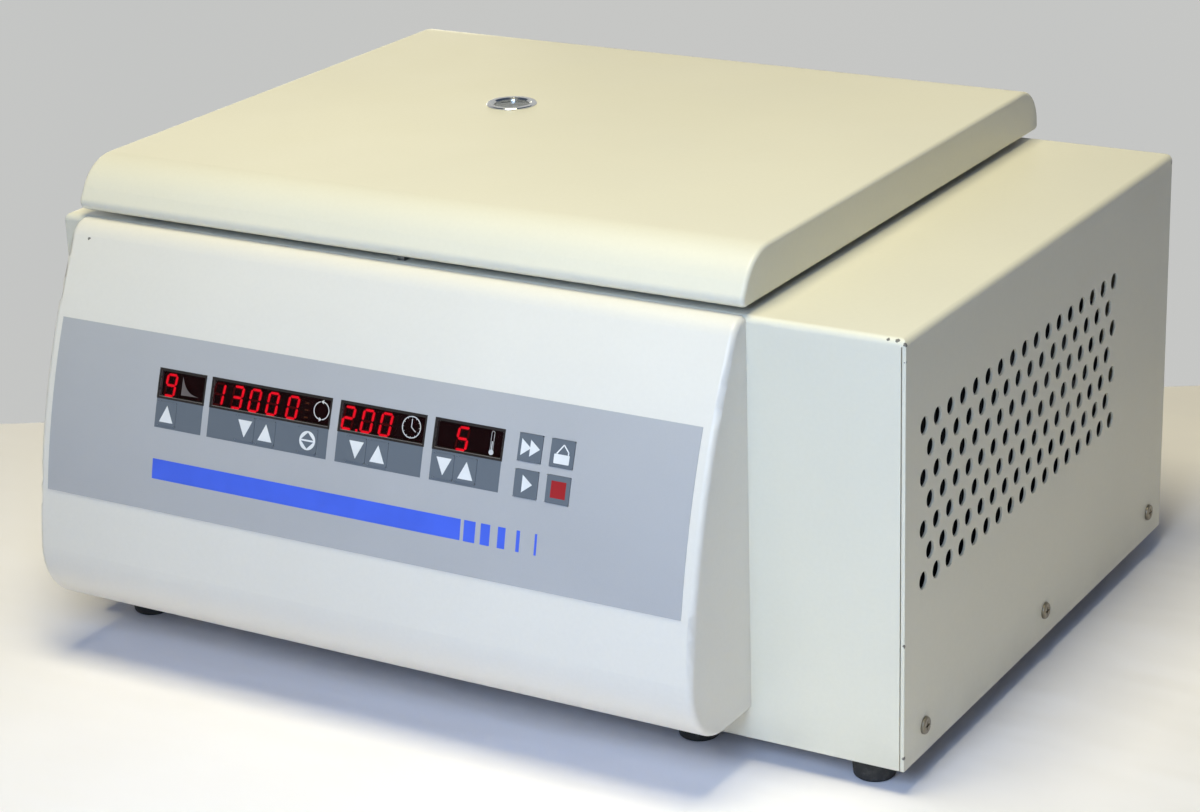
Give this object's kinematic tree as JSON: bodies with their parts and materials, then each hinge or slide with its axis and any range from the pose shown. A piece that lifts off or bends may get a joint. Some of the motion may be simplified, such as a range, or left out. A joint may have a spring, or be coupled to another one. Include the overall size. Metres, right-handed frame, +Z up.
{
  "type": "laboratory centrifuge",
  "caption": "Refrigerated benchtop laboratory centrifuge: low box cabinet, bowed control panel with displays and foil keys, hinged lid over a fixed-angle rotor, side grille.",
  "frame": {"origin": "middle of the footprint's bounding box, on the bench under the feet", "axes": "+X to the right seen from the front, +Y to the rear, +Z up"},
  "size_m": [0.554, 0.4636, 0.2942],
  "materials": {
    "cream_paint": "satin",
    "fascia_paint": "satin",
    "control_foil": "matte",
    "key_slate": "matte",
    "key_stop_red": "matte",
    "display_glass": "gloss",
    "display_black": "gloss",
    "circuit_board": "satin",
    "zinc_steel": "satin",
    "stainless": "brushed",
    "chrome": "polished",
    "clear_glass": "polished",
    "black_rubber": "matte",
    "grey_rubber": "matte",
    "grey_plastic": "matte",
    "black_plastic": "satin",
    "foam": "rough",
    "rotor_aluminium": "anodised",
    "motor_aluminium": "cast",
    "condenser_black": "painted",
    "compressor_black": "painted",
    "copper": "satin",
    "armour_steel": "mill"
  },
  "bodies": {
    "cabinet": {"base_pan": "zinc_steel", "main_housing": "cream_paint", "rear_panel": "cream_paint", "side_screws": "zinc_steel", "feet": "black_rubber", "front_fascia": "fascia_paint", "control_foil": "control_foil", "display_windows": "display_glass", "display_modules": "display_black", "display_board": "circuit_board", "hinge_brackets": "zinc_steel", "hinge_pins": "zinc_steel", "lock_housing": "zinc_steel", "lock_actuator": "black_plastic", "release_guide": "grey_plastic", "chamber_bowl": "stainless", "spindle_seal": "grey_rubber", "evaporator_coil": "copper", "insulation": "foam", "armour_ring": "armour_steel", "motor_dampers": "black_rubber", "motor_plate": "zinc_steel", "drive_motor": "motor_aluminium", "motor_bearings": "stainless", "compressor": "compressor_black", "compressor_mounts": "black_rubber", "condenser": "condenser_black", "fan_motor": "black_plastic", "fan_shroud": "zinc_steel", "refrigerant_lines": "copper", "filter_drier": "copper", "power_board": "circuit_board", "power_entry": "black_plastic", "inlet_pins": "zinc_steel"},
    "lid": {"lid_shell": "cream_paint", "lid_liner": "grey_plastic", "lid_gasket": "black_rubber", "viewport_ring": "chrome", "viewport_lens": "clear_glass", "lid_striker": "zinc_steel", "hinge_arms": "zinc_steel"},
    "rotor_assembly": {"rotor": "rotor_aluminium", "drive_spindle": "stainless"},
    "knob": {"rotor_knob": "black_plastic"},
    "fan": {"condenser_fan": "black_plastic"},
    "rocker": {"power_rocker": "black_plastic"},
    "bolt": {"lock_bolt": "zinc_steel"},
    "plug": {"release_plug": "grey_plastic"},
    "key_profile_up": {"key_profile_up": "key_slate"},
    "key_speed_down": {"key_speed_down": "key_slate"},
    "key_speed_up": {"key_speed_up": "key_slate"},
    "key_speed_mode": {"key_speed_mode": "key_slate"},
    "key_time_down": {"key_time_down": "key_slate"},
    "key_time_up": {"key_time_up": "key_slate"},
    "key_temp_down": {"key_temp_down": "key_slate"},
    "key_temp_up": {"key_temp_up": "key_slate"},
    "key_quick_run": {"key_quick_run": "key_slate"},
    "key_lid_open": {"key_lid_open": "key_slate"},
    "key_start": {"key_start": "key_slate"},
    "key_stop": {"key_stop": "key_stop_red"}
  },
  "joints": [
    {"name": "lid_hinge", "type": "hinge", "parent": "cabinet", "child": "lid", "pos_m": [-0.039, 0.21576, 0.25], "axis": [-1, 0, 0], "range_deg": [0, 75]},
    {"name": "rotor_spin", "type": "hinge", "parent": "cabinet", "child": "rotor_assembly", "pos_m": [-0.039, 0.03076, 0.2], "axis": [0, 0, 1], "continuous": true},
    {"name": "knob_turn", "type": "hinge", "parent": "rotor_assembly", "child": "knob", "pos_m": [-0.039, 0.03076, 0.22], "axis": [0, 0, 1], "continuous": true},
    {"name": "fan_spin", "type": "hinge", "parent": "cabinet", "child": "fan", "pos_m": [0.214, -0.06824, 0.144], "axis": [1, 0, 0], "continuous": true},
    {"name": "rocker_tilt", "type": "hinge", "parent": "cabinet", "child": "rocker", "pos_m": [-0.205, 0.22126, 0.092], "axis": [1, 0, 0], "range_deg": [-18, 0]},
    {"name": "lock_bolt_slide", "type": "slide", "parent": "cabinet", "child": "bolt", "axis": [1, 0, 0], "range_m": [0, 0.014], "stiffness_N_per_m": 120},
    {"name": "release_plug_pull", "type": "slide", "parent": "cabinet", "child": "plug", "axis": [-1, 0, 0], "range_m": [0, 0.012]},
    {"name": "key_profile_up_press", "type": "slide", "parent": "cabinet", "child": "key_profile_up", "axis": [0, 0.9573, -0.2892], "range_m": [0, 0.0005], "stiffness_N_per_m": 900},
    {"name": "key_speed_down_press", "type": "slide", "parent": "cabinet", "child": "key_speed_down", "axis": [0, 0.9573, -0.2892], "range_m": [0, 0.0005], "stiffness_N_per_m": 900},
    {"name": "key_speed_up_press", "type": "slide", "parent": "cabinet", "child": "key_speed_up", "axis": [0, 0.9573, -0.2892], "range_m": [0, 0.0005], "stiffness_N_per_m": 900},
    {"name": "key_speed_mode_press", "type": "slide", "parent": "cabinet", "child": "key_speed_mode", "axis": [0, 0.9573, -0.2892], "range_m": [0, 0.0005], "stiffness_N_per_m": 900},
    {"name": "key_time_down_press", "type": "slide", "parent": "cabinet", "child": "key_time_down", "axis": [0, 0.9573, -0.2892], "range_m": [0, 0.0005], "stiffness_N_per_m": 900},
    {"name": "key_time_up_press", "type": "slide", "parent": "cabinet", "child": "key_time_up", "axis": [0, 0.9573, -0.2892], "range_m": [0, 0.0005], "stiffness_N_per_m": 900},
    {"name": "key_temp_down_press", "type": "slide", "parent": "cabinet", "child": "key_temp_down", "axis": [0, 0.9573, -0.2892], "range_m": [0, 0.0005], "stiffness_N_per_m": 900},
    {"name": "key_temp_up_press", "type": "slide", "parent": "cabinet", "child": "key_temp_up", "axis": [0, 0.9573, -0.2892], "range_m": [0, 0.0005], "stiffness_N_per_m": 900},
    {"name": "key_quick_run_press", "type": "slide", "parent": "cabinet", "child": "key_quick_run", "axis": [0, 0.9447, -0.3279], "range_m": [0, 0.0005], "stiffness_N_per_m": 900},
    {"name": "key_lid_open_press", "type": "slide", "parent": "cabinet", "child": "key_lid_open", "axis": [0, 0.9447, -0.3279], "range_m": [0, 0.0005], "stiffness_N_per_m": 900},
    {"name": "key_start_press", "type": "slide", "parent": "cabinet", "child": "key_start", "axis": [0, 0.958, -0.2866], "range_m": [0, 0.0005], "stiffness_N_per_m": 900},
    {"name": "key_stop_press", "type": "slide", "parent": "cabinet", "child": "key_stop", "axis": [0, 0.958, -0.2866], "range_m": [0, 0.0005], "stiffness_N_per_m": 900}
  ]
}
